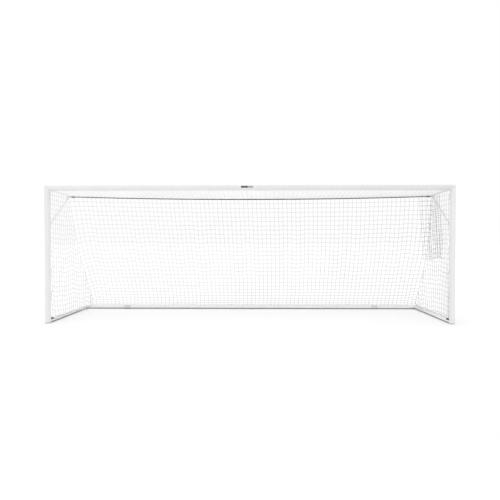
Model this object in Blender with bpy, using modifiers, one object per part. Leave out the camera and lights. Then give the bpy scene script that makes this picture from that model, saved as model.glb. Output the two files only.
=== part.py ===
"""Full-size portable soccer goal: round tube goal mouth, bent net supports, ground frame and net.

Metres, +Z up.  +X runs along the crossbar, the mouth faces -Y and the net trails towards +Y.
Everything is drawn with the goal line (the axes of the two posts) at y = 0 and is parented to one
empty, which moves the goal so that the middle of its footprint is the world origin.
"""
import math

import bmesh
import bpy
from mathutils import Matrix, Vector

# ---------------------------------------------------------------- driving dimensions (metres)
GAP = 0.0003                  # clearance between pieces that touch

CLEAR_WIDTH = 7.3152          # 24 ft between the posts
CLEAR_HEIGHT = 2.4384         # 8 ft under the crossbar
POST_R = 0.0508               # 4 in round tube
POST_WALL = 0.003
FOOT_THICK = 0.006            # flange of the plastic foot under each post
FOOT_PLUG_TOP = 0.04

BASE_DEPTH = 2.10             # goal line to the axis of the rear ground bar
GROUND_R = 0.0381             # 3 in round tube
GROUND_WALL = 0.003
REAR_JOINT_X = 2.77           # where the rear bar is split
SLEEVE_WALL = 0.003
SLEEVE_LENGTH = 0.14
SLEEVE_BOLT_REACH = 0.04      # joint to the bolt on each side of it

TIP_DEPTH = 1.02              # goal line to the rearmost point of a net support's axis
SUPPORT_R = 0.016             # net support tube
SUPPORT_WALL = 0.002
SUPPORT_BEND_R = 0.04         # centre-line radius of the tight bend at the tip
SUPPORT_LOW_Z = 1.762         # where the brace's axis meets the post's axis
SOCKET_WALL = 0.0025
SOCKET_REACH = 0.115          # post axis to the open end of a socket
CROSS_BOLT_Y = 0.088          # post axis to the bolt across a socket

ROPE_R = 0.011
ROPE_SAG = 0.057
ROPE_POINTS = 49

NET_THICK = 0.002
NET_GAP = 0.0155              # net edge to the tube it is clipped to
NET_INSIDE = 0.030            # side panels to the line of the posts
NET_CORNER_INSET = 0.05       # how far the free corner edge is pulled in half way down
NET_TOP_SAG = 0.04
NET_SWEEP = 2.3               # the middle of the back hangs down first and sweeps back low

INSERT_WALL = 0.006
INSERT_LEG = 0.20
CORNER_BOLT_REACH = 0.12      # post or crossbar axis to the bolt along each leg

BADGE_LENGTH = 0.22
BADGE_THICK = 0.0012
BADGE_FROM_DEG = -4.0         # band of the crossbar's front that the badge covers, 0 is level
BADGE_TO_DEG = 38.0
BADGE_X = -0.03

BOLT_R = 0.005
BOLT_HEAD_R = 0.0095
BOLT_HEAD_H = 0.0055
CROSS_BOLT_R = 0.004
CROSS_HEAD_R = 0.0075
CROSS_HEAD_H = 0.0045
NUT_R = 0.0075
NUT_THICK = 0.0055

EYE_RING_R = 0.015
EYE_WIRE_R = 0.004
EYE_STANDOFF = 0.004

BRACKET_LUG = 0.007           # thickness of the upright lug behind the post
BRACKET_LUG_HALF = 0.022
BRACKET_WALL = 0.006
BRACKET_END_Y = 0.20
BRACKET_TOP_Z = 0.15
WEB_END_Y = 0.125
WEB_TOP_Z = 0.108
LUG_BOLT_Z = 0.125
SADDLE_BOLTS_Y = {"front": 0.145, "rear": 0.18}

POST_SIDES = 40
INSERT_SIDES = 24
GROUND_SIDES = 28
SMALL_SIDES = 12
BOLT_SIDES = 8

# ---------------------------------------------------------------- sizes that follow
POST_X = CLEAR_WIDTH / 2 + POST_R
BAR_Z = CLEAR_HEIGHT + POST_R
SLEEVE_R = GROUND_R + GAP + SLEEVE_WALL
GROUND_Z = SLEEVE_R
SOCKET_R = SUPPORT_R + GAP + SOCKET_WALL
ARM_Z = BAR_Z - SOCKET_R * math.sqrt(2) - 2 * GAP
INSERT_R = POST_R - POST_WALL - 2 * GAP
COPE_R = POST_R + 2 * GAP
BEND_Y = TIP_DEPTH - SUPPORT_BEND_R
BEND_Z = ARM_Z - SUPPORT_BEND_R
BRACE_TILT = (math.atan2(BEND_Z - SUPPORT_LOW_Z, BEND_Y)
              - math.asin(SUPPORT_BEND_R / math.hypot(BEND_Y, BEND_Z - SUPPORT_LOW_Z)))
EYE_X = POST_X - SUPPORT_R - EYE_STANDOFF - EYE_WIRE_R - EYE_RING_R
ROPE_END_X = EYE_X - EYE_RING_R - EYE_WIRE_R - 0.001
GROUND_TOP_Z = GROUND_Z + GROUND_R
NET_LOW_Z = GROUND_TOP_Z + NET_GAP
NET_FRONT_Y = POST_R + NET_GAP
BRACKET_FRONT_Y = POST_R + 2 * GAP
BRACKET_SEAT_Z = GROUND_TOP_Z + GAP + BRACKET_WALL
NET_SIDE_X = POST_X - NET_INSIDE
FRONT_OUT = POST_R + GAP + BADGE_THICK
REAR_OUT = BASE_DEPTH + SLEEVE_R + GAP + BOLT_HEAD_H
CENTRE_SHIFT = (FRONT_OUT - REAR_OUT) / 2

ALONG_X = (0.0, math.pi / 2, 0.0)        # turns local +Z to +X and local +X to -Z
ALONG_Y = (-math.pi / 2, 0.0, 0.0)       # turns local +Z to +Y and local +Y to -Z
UPRIGHT = (0.0, 0.0, 0.0)
SIDES = (("left", -1), ("right", 1))


# ---------------------------------------------------------------- scene set-up
for old in list(bpy.data.objects):
    bpy.data.objects.remove(old, do_unlink=True)

parts = bpy.data.collections.new("soccer_goal_frame")
cutters = bpy.data.collections.new("cutters")
bpy.context.scene.collection.children.link(parts)
bpy.context.scene.collection.children.link(cutters)

goal_line = bpy.data.objects.new("goal_line", None)
goal_line.location = (0.0, CENTRE_SHIFT, 0.0)
parts.objects.link(goal_line)


def make_material(name, colour, roughness, metallic):
    material = bpy.data.materials.new(name)
    material.use_nodes = True
    shader = material.node_tree.nodes["Principled BSDF"]
    shader.inputs["Base Color"].default_value = (*colour, 1.0)
    shader.inputs["Roughness"].default_value = roughness
    shader.inputs["Metallic"].default_value = metallic
    return material


WHITE_COAT = make_material("white_powder_coat", (0.86, 0.86, 0.86), 0.35, 0.0)
DARK_COAT = make_material("dark_bracket_coat", (0.05, 0.05, 0.055), 0.5, 0.0)
ZINC = make_material("zinc_plated_steel", (0.62, 0.63, 0.65), 0.35, 1.0)
BARE_ALLOY = make_material("cast_alloy", (0.70, 0.71, 0.73), 0.4, 1.0)
WHITE_PLASTIC = make_material("white_plastic", (0.85, 0.85, 0.84), 0.45, 0.0)
BADGE_COAT = make_material("badge_film", (0.10, 0.10, 0.11), 0.35, 0.0)
BLACK_ROPE = make_material("black_braid", (0.02, 0.02, 0.02), 0.8, 0.0)
NET_TWINE = make_material("white_twine", (0.88, 0.88, 0.87), 0.8, 0.0)


# ---------------------------------------------------------------- building blocks
def add_part(name, mesh, material, location=(0.0, 0.0, 0.0), rotation=UPRIGHT):
    """Put a mesh in the goal as its own named object with its own material."""
    mesh.materials.clear()
    mesh.materials.append(material)
    mesh.shade_smooth()
    mesh.set_sharp_from_angle(angle=math.radians(35))
    part = bpy.data.objects.new(name, mesh)
    part.location = location
    part.rotation_euler = rotation
    part.parent = goal_line
    parts.objects.link(part)
    return part


def add_cutter(name, mesh):
    """Put a mesh in the cutters' collection, where it only shapes other parts."""
    cutter = bpy.data.objects.new(name, mesh)
    cutter.parent = goal_line
    cutter.hide_render = True
    cutter.display_type = "WIRE"
    cutters.objects.link(cutter)
    return cutter


def shape_with(part, cutter, operation):
    boolean = part.modifiers.new(operation.lower(), "BOOLEAN")
    boolean.operation = operation
    boolean.object = cutter
    boolean.solver = "EXACT"


def evaluated_mesh(source):
    """The mesh that a curve or modified object makes, with the source removed."""
    bpy.context.view_layer.update()
    depsgraph = bpy.context.evaluated_depsgraph_get()
    mesh = bpy.data.meshes.new_from_object(source.evaluated_get(depsgraph))
    bpy.data.objects.remove(source, do_unlink=True)
    return mesh


def welded(mesh):
    """Weld a curve's loose caps and turn its faces outwards."""
    bm = bmesh.new()
    bm.from_mesh(mesh)
    bmesh.ops.remove_doubles(bm, verts=bm.verts, dist=0.00002)
    bmesh.ops.recalc_face_normals(bm, faces=bm.faces)
    bm.to_mesh(mesh)
    bm.free()
    return mesh


def merged(name, placed_meshes):
    """One mesh from several (mesh, matrix) pairs, which stay separate bodies."""
    bm = bmesh.new()
    for mesh, matrix in placed_meshes:
        copy = mesh.copy()
        copy.transform(matrix)
        bm.from_mesh(copy)
        bpy.data.meshes.remove(copy)
    result = bpy.data.meshes.new(name)
    bm.to_mesh(result)
    bm.free()
    return result


def cylinder(radius, low, high, sides):
    """Solid cylinder on local Z from low to high."""
    bm = bmesh.new()
    middle = Matrix.Translation((0.0, 0.0, (low + high) / 2))
    bmesh.ops.create_cone(bm, cap_ends=True, segments=sides, radius1=radius, radius2=radius,
                          depth=high - low, matrix=middle)
    mesh = bpy.data.meshes.new("cylinder")
    bm.to_mesh(mesh)
    bm.free()
    return mesh


def box(low, high):
    """Solid box between two corners."""
    bm = bmesh.new()
    size = Vector(high) - Vector(low)
    middle = (Vector(high) + Vector(low)) / 2
    bmesh.ops.create_cube(bm, size=1.0, matrix=Matrix.Translation(middle) @ Matrix.Diagonal((*size, 1.0)))
    mesh = bpy.data.meshes.new("box")
    bm.to_mesh(mesh)
    bm.free()
    return mesh


def square_cut(x, y):
    return 0.0


def mitre(along_x, along_y):
    """A sloping cut: how far the tube's end moves out for each point of its section."""
    return lambda x, y: along_x * x + along_y * y


def cope(tilt=0.0):
    """A fish-mouth cut that fits a tube, tilted up from level, against a post at its origin."""
    return lambda x, y: (math.sqrt(COPE_R ** 2 - x ** 2) - y * math.sin(tilt)) / math.cos(tilt)


def open_walls(outer_r, wall, low, high, sides):
    """Outer and inner walls of a round tube on local Z, with no end faces yet."""
    bm = bmesh.new()
    middle = Matrix.Translation((0.0, 0.0, (low + high) / 2))
    for radius in (outer_r - wall, outer_r):
        bmesh.ops.reverse_faces(bm, faces=bm.faces)
        bmesh.ops.create_cone(bm, cap_ends=False, segments=sides, radius1=radius, radius2=radius,
                              depth=high - low, matrix=middle)
    return bm


def tube(outer_r, wall, length, sides, start_cut=square_cut, end_cut=square_cut):
    """Open round tube on local +Z, with each end cut to its own shape."""
    bm = open_walls(outer_r, wall, 0.0, length, sides)
    start = [edge for edge in bm.edges if max(v.co.z for v in edge.verts) < length * 0.1]
    end = [edge for edge in bm.edges if min(v.co.z for v in edge.verts) > length * 0.9]
    bmesh.ops.bridge_loops(bm, edges=start)
    bmesh.ops.bridge_loops(bm, edges=end)
    for vertex in bm.verts:
        cut = end_cut if vertex.co.z > length / 2 else start_cut
        vertex.co.z += cut(vertex.co.x, vertex.co.y)
    bmesh.ops.recalc_face_normals(bm, faces=bm.faces)
    mesh = bpy.data.meshes.new("tube")
    bm.to_mesh(mesh)
    bm.free()
    return mesh


def turned(profile, sides):
    """Solid of revolution about local Z from (radius, height) points, top to bottom."""
    mesh = bpy.data.meshes.new("profile")
    points = [(radius, 0.0, height) for radius, height in profile]
    links = [(index, index + 1) for index in range(len(points) - 1)]
    mesh.from_pydata(points, links, [])
    source = bpy.data.objects.new("profile", mesh)
    cutters.objects.link(source)
    screw = source.modifiers.new("turn", "SCREW")
    screw.steps = sides
    screw.render_steps = sides
    screw.use_merge_vertices = True
    screw.merge_threshold = 0.00001
    return evaluated_mesh(source)


def plate(outlines, thickness):
    """Flat plate in local XY, centred on Z, from one outline and any holes inside it."""
    curve = bpy.data.curves.new("outline", "CURVE")
    curve.dimensions = "2D"
    curve.fill_mode = "BOTH"
    curve.extrude = thickness / 2
    for outline in outlines:
        spline = curve.splines.new("POLY")
        spline.points.add(len(outline) - 1)
        for point, (x, y) in zip(spline.points, outline):
            point.co = (x, y, 0.0, 1.0)
        spline.use_cyclic_u = True
    source = bpy.data.objects.new("outline", curve)
    cutters.objects.link(source)
    return welded(evaluated_mesh(source))


def circle_points(radius, sides, from_deg=0.0, to_deg=360.0, closed=True):
    steps = sides if closed else sides - 1
    sweep = math.radians(to_deg - from_deg)
    start = math.radians(from_deg)
    angles = [start + sweep * index / steps for index in range(sides)]
    return [(radius * math.cos(angle), radius * math.sin(angle)) for angle in angles]


def arc_band(inner_r, outer_r, from_deg, to_deg, sides):
    """Outline of a ring sector."""
    outside = circle_points(outer_r, sides, from_deg, to_deg, closed=False)
    inside = circle_points(inner_r, sides, from_deg, to_deg, closed=False)
    return outside + inside[::-1]


def placed(x, y, z, rotation=UPRIGHT):
    turn = Matrix.Rotation(rotation[2], 4, "Z") @ Matrix.Rotation(rotation[1], 4, "Y")
    return Matrix.Translation((x, y, z)) @ turn @ Matrix.Rotation(rotation[0], 4, "X")


def dome_bolt(shank_r, shank_length, head_r, head_h):
    """Button-head bolt: head above z = 0, shank below."""
    return turned([(0.0, head_h), (head_r * 0.6, head_h * 0.85), (head_r, head_h * 0.3), (head_r, 0.0),
                   (shank_r, 0.0), (shank_r, -shank_length), (0.0, -shank_length)], BOLT_SIDES)


def hex_nut():
    return plate([circle_points(NUT_R, 6), circle_points(CROSS_BOLT_R + GAP, BOLT_SIDES)], NUT_THICK)


# ---------------------------------------------------------------- goal mouth
def build_goal_mouth():
    """Crossbar and posts, mitred at the corners, over inner corner castings."""
    crossbar = add_part(
        "crossbar", tube(POST_R, POST_WALL, 2 * POST_X, POST_SIDES, mitre(1, 0), mitre(-1, 0)),
        WHITE_COAT, (-POST_X, 0.0, BAR_Z), ALONG_X)
    bolt = dome_bolt(BOLT_R, POST_R - 0.036, BOLT_HEAD_R, BOLT_HEAD_H)
    for side, sign in SIDES:
        foot_top = FOOT_THICK + GAP
        post = add_part(
            "post_" + side,
            tube(POST_R, POST_WALL, BAR_Z - foot_top - 2 * GAP, POST_SIDES, end_cut=mitre(sign, 0)),
            WHITE_COAT, (sign * POST_X, 0.0, foot_top))
        add_part("foot_" + side, foot_mesh(), WHITE_PLASTIC, (sign * POST_X, 0.0, 0.0))
        insert = add_part("corner_insert_" + side, corner_insert_mesh(sign), BARE_ALLOY,
                          (sign * POST_X, 0.0, BAR_Z))
        sites = {"bar": (sign * (POST_X - CORNER_BOLT_REACH), BAR_Z),
                 "post": (sign * POST_X, BAR_Z - CORNER_BOLT_REACH)}
        for leg, (x, z) in sites.items():
            add_part("corner_bolt_" + leg + "_" + side, bolt.copy(), ZINC, (x, POST_R + GAP, z), ALONG_Y)
        hole = cylinder(BOLT_R + GAP, 0.03, 0.06, BOLT_SIDES)
        drill = add_cutter("corner_drill_" + side,
                           merged("corner_drill", [(hole, placed(x, 0.0, z, ALONG_Y))
                                                   for x, z in sites.values()]))
        for drilled in (crossbar, post, insert):
            shape_with(drilled, drill, "DIFFERENCE")
        foot_bolt_drill(side, sign, post)


def foot_mesh():
    """Plastic foot: a flange under the post's rim and a plug up inside it."""
    plug_r = INSERT_R
    return turned([(0.0, FOOT_PLUG_TOP), (plug_r - 0.004, FOOT_PLUG_TOP), (plug_r, FOOT_PLUG_TOP - 0.006),
                   (plug_r, FOOT_THICK), (POST_R, FOOT_THICK), (POST_R, 0.0), (0.0, 0.0)], POST_SIDES)


def corner_insert_mesh(sign):
    """Hollow elbow with a sharp mitre that joins the crossbar to a post from the inside."""
    bm = open_walls(INSERT_R, INSERT_WALL, -INSERT_LEG, 0.0, INSERT_SIDES)
    bottom = [edge for edge in bm.edges if max(v.co.z for v in edge.verts) < -INSERT_LEG * 0.9]
    top = [edge for edge in bm.edges if min(v.co.z for v in edge.verts) > -INSERT_LEG * 0.1]
    for vertex in {v for edge in top for v in edge.verts}:
        vertex.co.z = sign * vertex.co.x
    grown = bmesh.ops.extrude_edge_only(bm, edges=top)["geom"]
    for vertex in (item for item in grown if isinstance(item, bmesh.types.BMVert)):
        vertex.co.x = -sign * INSERT_LEG
    far = [item for item in grown if isinstance(item, bmesh.types.BMEdge)]
    bmesh.ops.bridge_loops(bm, edges=bottom)
    bmesh.ops.bridge_loops(bm, edges=far)
    bmesh.ops.recalc_face_normals(bm, faces=bm.faces)
    mesh = bpy.data.meshes.new("corner_insert")
    bm.to_mesh(mesh)
    bm.free()
    return mesh


def build_badge():
    """Plain film badge wrapped on the front of the crossbar."""
    inner_r = POST_R + GAP
    band = arc_band(inner_r, inner_r + BADGE_THICK, 180.0 - BADGE_TO_DEG, 180.0 - BADGE_FROM_DEG, 9)
    # The band is drawn in local XY and then stood up across the crossbar: local X becomes world Y.
    stand = placed(BADGE_X, 0.0, BAR_Z) @ Matrix(((0, 0, 1, 0), (1, 0, 0, 0), (0, 1, 0, 0), (0, 0, 0, 1)))
    mesh = plate([band], BADGE_LENGTH)
    mesh.transform(stand)
    add_part("crossbar_badge", mesh, BADGE_COAT)


# ---------------------------------------------------------------- net supports and rope
def support_path():
    """Centre line of a net support in the (y, z) plane: arm, tight bend, brace."""
    end_deg = -(90.0 - math.degrees(BRACE_TILT))
    path = [(0.03, ARM_Z)]
    bend_points = 9
    for index in range(bend_points):
        angle = math.radians(90.0 + (end_deg - 90.0) * index / (bend_points - 1))
        path.append((BEND_Y + SUPPORT_BEND_R * math.cos(angle), BEND_Z + SUPPORT_BEND_R * math.sin(angle)))
    path.append((0.02, SUPPORT_LOW_Z + 0.02 * math.tan(BRACE_TILT)))
    return path


def support_mesh():
    """Hollow bent tube, with both ends coped against the back of the post."""
    path = support_path()
    curve = bpy.data.curves.new("support_path", "CURVE")
    curve.dimensions = "3D"
    curve.bevel_depth = SUPPORT_R
    curve.bevel_resolution = SMALL_SIDES // 2 - 2
    spline = curve.splines.new("POLY")
    spline.points.add(len(path) - 1)
    for point, (y, z) in zip(spline.points, path):
        point.co = (0.0, y, z, 1.0)
    source = bpy.data.objects.new("support_path", curve)
    cutters.objects.link(source)
    skin = bpy.data.objects.new("support_skin", welded(evaluated_mesh(source)))
    cutters.objects.link(skin)
    wall = skin.modifiers.new("wall", "SOLIDIFY")
    wall.thickness = SUPPORT_WALL
    wall.offset = -1.0
    wall.use_even_offset = True
    mesh = evaluated_mesh(skin)
    for end_y, direction in ((path[0][0], Vector((0.0, 1.0, 0.0))),
                             (path[-1][0], Vector((0.0, math.cos(BRACE_TILT), math.sin(BRACE_TILT))))):
        end = Vector((0.0, end_y, ARM_Z if end_y == path[0][0] else path[-1][1]))
        for vertex in mesh.vertices:
            if abs((vertex.co - end).dot(direction)) < 0.002 and (vertex.co - end).length < 2 * SUPPORT_R:
                target_y = math.sqrt((COPE_R + GAP) ** 2 - vertex.co.x ** 2)
                vertex.co += direction * ((target_y - vertex.co.y) / direction.y)
    return mesh


def build_net_supports():
    """Bent tubes in sockets on the posts, with their cross bolts and the rope's eye bolts."""
    bolt = dome_bolt(CROSS_BOLT_R, 2 * SOCKET_R + 2 * GAP + NUT_THICK + 0.002, CROSS_HEAD_R, CROSS_HEAD_H)
    seats = {"upper": (0.0, ARM_Z), "lower": (BRACE_TILT, SUPPORT_LOW_Z)}
    for side, sign in SIDES:
        support = add_part("net_support_" + side, support_mesh(), WHITE_COAT, (sign * POST_X, 0.0, 0.0))
        outward = (0.0, sign * math.pi / 2, 0.0)
        holes = []
        hole = cylinder(CROSS_BOLT_R + GAP, -0.03, 0.03, BOLT_SIDES)
        sockets = []
        for level, (tilt, axis_z) in seats.items():
            socket = add_part(
                "support_socket_" + level + "_" + side,
                tube(SOCKET_R, SOCKET_WALL, SOCKET_REACH, SMALL_SIDES, start_cut=cope(tilt)),
                WHITE_COAT, (sign * POST_X, 0.0, axis_z), (tilt - math.pi / 2, 0.0, 0.0))
            sockets.append(socket)
            bolt_z = axis_z + CROSS_BOLT_Y * math.tan(tilt)
            seat_x = sign * (POST_X + SOCKET_R + GAP)
            nut_x = sign * (POST_X - SOCKET_R - GAP - NUT_THICK / 2)
            add_part("support_bolt_" + level + "_" + side, bolt.copy(), ZINC,
                     (seat_x, CROSS_BOLT_Y, bolt_z), outward)
            add_part("support_nut_" + level + "_" + side, hex_nut(), ZINC,
                     (nut_x, CROSS_BOLT_Y, bolt_z), outward)
            holes.append((hole, placed(sign * POST_X, CROSS_BOLT_Y, bolt_z, outward)))
        drill = add_cutter("support_drill_" + side, merged("support_drill", holes))
        for drilled in (support, *sockets):
            shape_with(drilled, drill, "DIFFERENCE")
        build_rope_eye(side, sign, support, hole)


def build_rope_eye(side, sign, support, hole):
    """Eye bolt across the support's tip, its ring on the inner side, its nut outside."""
    outward = (0.0, sign * math.pi / 2, 0.0)
    tip = (TIP_DEPTH, BEND_Z)
    drill = add_cutter("eye_drill_" + side,
                       merged("eye_drill", [(hole, placed(sign * POST_X, *tip, outward))]))
    shape_with(support, drill, "DIFFERENCE")
    reach = POST_X + SUPPORT_R + GAP + NUT_THICK + 0.003
    ring_edge = EYE_X + EYE_RING_R
    shank = cylinder(CROSS_BOLT_R, ring_edge, reach, BOLT_SIDES)
    eye = add_part("rope_eye_" + side, merged("rope_eye", [(shank, placed(0.0, *tip, outward))]), ZINC)
    bpy.ops.mesh.primitive_torus_add(major_segments=16, minor_segments=6, major_radius=EYE_RING_R,
                                     minor_radius=EYE_WIRE_R, location=(0.0, 0.0, 0.0))
    torus = bpy.context.object
    ring_mesh = torus.data.copy()
    bpy.data.objects.remove(torus, do_unlink=True)
    ring_mesh.transform(placed(sign * EYE_X, *tip))
    shape_with(eye, add_cutter("eye_ring_" + side, ring_mesh), "UNION")
    nut_x = sign * (POST_X + SUPPORT_R + GAP + NUT_THICK / 2)
    add_part("rope_eye_nut_" + side, hex_nut(), ZINC, (nut_x, *tip), outward)


def rope_height(x):
    return BEND_Z - ROPE_SAG * (1.0 - (x / ROPE_END_X) ** 2)


def build_rope():
    """Taut rope between the two support tips, with its slight sag."""
    curve = bpy.data.curves.new("tension_rope", "CURVE")
    curve.dimensions = "3D"
    curve.bevel_depth = ROPE_R
    curve.bevel_resolution = 2
    curve.use_fill_caps = True
    spline = curve.splines.new("POLY")
    spline.points.add(ROPE_POINTS - 1)
    for index, point in enumerate(spline.points):
        x = ROPE_END_X * (2.0 * index / (ROPE_POINTS - 1) - 1.0)
        point.co = (x, TIP_DEPTH, rope_height(x), 1.0)
    source = bpy.data.objects.new("tension_rope_path", curve)
    cutters.objects.link(source)
    add_part("tension_rope", welded(evaluated_mesh(source)), BLACK_ROPE)


# ---------------------------------------------------------------- ground frame
def build_ground_frame():
    """Side bars with mitred returns, a rear bar, and a bolted sleeve over each rear joint."""
    centre = add_part("rear_bar", tube(GROUND_R, GROUND_WALL, 2 * REAR_JOINT_X, GROUND_SIDES), WHITE_COAT,
                      (-REAR_JOINT_X, BASE_DEPTH, GROUND_Z), ALONG_X)
    bolt = dome_bolt(BOLT_R, 0.014, BOLT_HEAD_R, BOLT_HEAD_H)
    hole = cylinder(BOLT_R + GAP, 0.025, 0.06, BOLT_SIDES)
    for side, sign in SIDES:
        add_part("side_bar_" + side,
                 tube(GROUND_R, GROUND_WALL, BASE_DEPTH, GROUND_SIDES, cope(), mitre(sign, 0)),
                 WHITE_COAT, (sign * POST_X, 0.0, GROUND_Z), ALONG_Y)
        outer_x = POST_X - 2 * GAP
        inner_x = REAR_JOINT_X + 2 * GAP
        start_x = -outer_x if sign < 0 else inner_x
        cuts = {"start_cut": mitre(0, -1)} if sign < 0 else {"end_cut": mitre(0, 1)}
        return_bar = add_part("return_bar_" + side,
                              tube(GROUND_R, GROUND_WALL, outer_x - inner_x, GROUND_SIDES, **cuts),
                              WHITE_COAT, (start_x, BASE_DEPTH, GROUND_Z), ALONG_X)
        sleeve_x = sign * REAR_JOINT_X - SLEEVE_LENGTH / 2
        sleeve = add_part("rear_sleeve_" + side, tube(SLEEVE_R, SLEEVE_WALL, SLEEVE_LENGTH, GROUND_SIDES),
                          WHITE_COAT, (sleeve_x, BASE_DEPTH, GROUND_Z), ALONG_X)
        sites = {"inner": sign * (REAR_JOINT_X - SLEEVE_BOLT_REACH),
                 "outer": sign * (REAR_JOINT_X + SLEEVE_BOLT_REACH)}
        for place, x in sites.items():
            add_part("sleeve_bolt_" + place + "_" + side, bolt.copy(), ZINC,
                     (x, BASE_DEPTH + SLEEVE_R + GAP, GROUND_Z), ALONG_Y)
        drill = add_cutter("sleeve_drill_" + side,
                           merged("sleeve_drill", [(hole, placed(x, BASE_DEPTH, GROUND_Z, ALONG_Y))
                                                   for x in sites.values()]))
        for drilled in (centre, return_bar, sleeve):
            shape_with(drilled, drill, "DIFFERENCE")


def foot_bolt_drill(side, sign, post):
    """Hole through the back of a post for the bolt of its bracket's lug."""
    hole = cylinder(BOLT_R + GAP, 0.03, 0.07, BOLT_SIDES)
    drill = add_cutter("lug_drill_" + side,
                       merged("lug_drill", [(hole, placed(sign * POST_X, 0.0, LUG_BOLT_Z, ALONG_Y))]))
    shape_with(post, drill, "DIFFERENCE")


def build_foot_brackets():
    """Dark brackets that tie each side bar to the back of its post: saddle, lug and web."""
    saddle_r = GROUND_R + GAP
    saddle_length = BRACKET_END_Y - BRACKET_FRONT_Y
    saddle = plate([arc_band(saddle_r, saddle_r + BRACKET_WALL, 205.0, 335.0, 11)], saddle_length)
    # Turned along Y, the outline's lower half comes out on top of the bar.
    saddle.transform(placed(0.0, BRACKET_FRONT_Y + saddle_length / 2, GROUND_Z, ALONG_Y))
    web_front_y = BRACKET_FRONT_Y + BRACKET_LUG / 2
    web_low_z = BRACKET_SEAT_Z - BRACKET_WALL / 3
    web = plate([[(web_front_y, web_low_z), (WEB_END_Y, web_low_z), (web_front_y, WEB_TOP_Z)]], BRACKET_WALL)
    # The web is drawn as (y, z) and stood up in that plane.
    web.transform(Matrix(((0, 0, 1, 0), (1, 0, 0, 0), (0, 1, 0, 0), (0, 0, 0, 1))))
    lug = box((-BRACKET_LUG_HALF, BRACKET_FRONT_Y, BRACKET_SEAT_Z - BRACKET_WALL * 0.8),
              (BRACKET_LUG_HALF, BRACKET_FRONT_Y + BRACKET_LUG, BRACKET_TOP_Z))
    lug_bolt = dome_bolt(BOLT_R, BRACKET_LUG + 0.010, BOLT_HEAD_R, BOLT_HEAD_H)
    saddle_bolt = dome_bolt(BOLT_R, BRACKET_WALL + 0.008, BOLT_HEAD_R, BOLT_HEAD_H)
    saddle_hole = cylinder(BOLT_R + GAP, BRACKET_SEAT_Z - 0.02, BRACKET_SEAT_Z + 0.01, BOLT_SIDES)
    lug_hole = cylinder(BOLT_R + GAP, 0.03, 0.07, BOLT_SIDES)
    for side, sign in SIDES:
        across = placed(sign * POST_X, 0.0, 0.0)
        bracket = add_part("foot_bracket_" + side, merged("foot_bracket", [(saddle, across)]), DARK_COAT)
        for name, extra in (("bracket_lug", lug), ("bracket_web", web)):
            shape_with(bracket, add_cutter(name + "_" + side, merged(name, [(extra, across)])), "UNION")
        holes = [(saddle_hole, placed(sign * POST_X, y, 0.0)) for y in SADDLE_BOLTS_Y.values()]
        bar_drill = add_cutter("saddle_drill_" + side, merged("saddle_drill", holes))
        holes.append((lug_hole, placed(sign * POST_X, 0.0, LUG_BOLT_Z, ALONG_Y)))
        bracket_drill = add_cutter("bracket_drill_" + side, merged("bracket_drill", holes))
        shape_with(bracket, bracket_drill, "DIFFERENCE")
        shape_with(bpy.data.objects["side_bar_" + side], bar_drill, "DIFFERENCE")
        for place, y in SADDLE_BOLTS_Y.items():
            add_part("bracket_bolt_" + place + "_" + side, saddle_bolt.copy(), ZINC,
                     (sign * POST_X, y, BRACKET_SEAT_Z + GAP))
        lug_face_y = BRACKET_FRONT_Y + BRACKET_LUG + GAP
        add_part("bracket_bolt_lug_" + side, lug_bolt.copy(), ZINC,
                 (sign * POST_X, lug_face_y, LUG_BOLT_Z), ALONG_Y)


# ---------------------------------------------------------------- net panels
def back_line(across, drop):
    """Depth of the hanging back net: across runs from -1 to 1, drop from 0 (rope) to 1 (rear bar).

    The free corner edges are almost straight; the middle hangs in a deep curve between them."""
    slack = (1.0 - across ** 2) ** 0.6
    sweep = lerp(drop, drop ** NET_SWEEP, slack)
    return lerp(TIP_DEPTH, BASE_DEPTH - 0.012, sweep)


def corner_inset(drop):
    return NET_CORNER_INSET * 4.0 * drop * (1.0 - drop)


def lerp(start, end, share):
    return start + (end - start) * share


def net_panel(name, point_at, across, down):
    """Thin closed sheet through point_at(u, v), u and v running from 0 to 1."""
    bm = bmesh.new()
    bmesh.ops.create_grid(bm, x_segments=across, y_segments=down, size=0.5)
    for vertex in bm.verts:
        vertex.co = Vector(point_at(vertex.co.x + 0.5, vertex.co.y + 0.5))
    mesh = bpy.data.meshes.new(name)
    bm.to_mesh(mesh)
    bm.free()
    panel = add_part(name, mesh, NET_TWINE)
    skin = panel.modifiers.new("thickness", "SOLIDIFY")
    skin.thickness = NET_THICK
    skin.offset = 0.0


def build_net():
    """Back, top and two side panels of the net, as plain thin sheets."""
    top_z = BEND_Z - 0.022

    def back(u, v):
        edge_x = NET_SIDE_X - 0.020 - corner_inset(v)
        x = lerp(-edge_x, edge_x, u)
        high = rope_height(x) - ROPE_R - 0.006
        return x, back_line(lerp(-1.0, 1.0, u), v), lerp(high, NET_LOW_Z, v)

    def top(u, v):
        x = lerp(-1.0, 1.0, u) * (POST_X - 0.075)
        y = lerp(NET_FRONT_Y, TIP_DEPTH - ROPE_R - 0.012, v)
        front_z = BAR_Z - 0.02
        rear_z = rope_height(x) + 0.012
        return x, y, lerp(front_z, rear_z, v) - NET_TOP_SAG * 4.0 * v * (1.0 - v)

    def side(sign):
        def point_at(u, v):
            rear_y = back_line(1.0, v) - 0.015
            x = sign * (NET_SIDE_X - u * corner_inset(v))
            return x, lerp(NET_FRONT_Y, rear_y, u), lerp(top_z, NET_LOW_Z, v)
        return point_at

    net_panel("net_back", back, 12, 6)
    net_panel("net_top", top, 12, 3)
    for name, sign in SIDES:
        net_panel("net_side_" + name, side(sign), 4, 6)


build_goal_mouth()
build_badge()
build_net_supports()
build_rope()
build_ground_frame()
build_foot_brackets()
build_net()
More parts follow.
